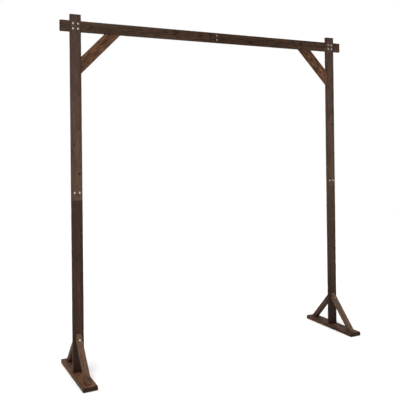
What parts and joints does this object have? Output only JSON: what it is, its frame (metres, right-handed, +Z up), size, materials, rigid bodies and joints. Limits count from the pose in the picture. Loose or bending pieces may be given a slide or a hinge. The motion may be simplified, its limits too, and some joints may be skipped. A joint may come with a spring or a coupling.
{
  "type": "wooden garden arbor",
  "caption": "Free-standing square garden arbor of flat stained boards, with diagonal corner braces and a braced flat foot under each post.",
  "frame": {"origin": "on the floor, midway between the two feet", "axes": "+Z up, +X along the beam to the viewer's right, +Y away from the viewer"},
  "size_m": [2.149, 0.516, 2.2],
  "materials": {
    "post_wood_lower": "dark walnut stain, satin",
    "post_wood_upper": "dark walnut stain, satin",
    "beam_wood": "dark walnut stain, satin",
    "corner_brace_wood": "brown stain with open grain, satin",
    "foot_board_wood": "brown stain, satin",
    "foot_brace_wood": "lighter brown stain, satin",
    "bolt_steel": "bright zinc plate"
  },
  "bodies": {
    "root": {"left_post_lower": "post_wood_lower", "left_post_upper": "post_wood_upper", "right_post_lower": "post_wood_lower", "right_post_upper": "post_wood_upper", "beam_left": "beam_wood", "beam_right": "beam_wood", "left_corner_brace": "corner_brace_wood", "right_corner_brace": "corner_brace_wood", "left_foot_board": "foot_board_wood", "right_foot_board": "foot_board_wood", "left_front_foot_brace": "foot_brace_wood", "left_back_foot_brace": "foot_brace_wood", "right_front_foot_brace": "foot_brace_wood", "right_back_foot_brace": "foot_brace_wood"}
  },
  "joints": []
}
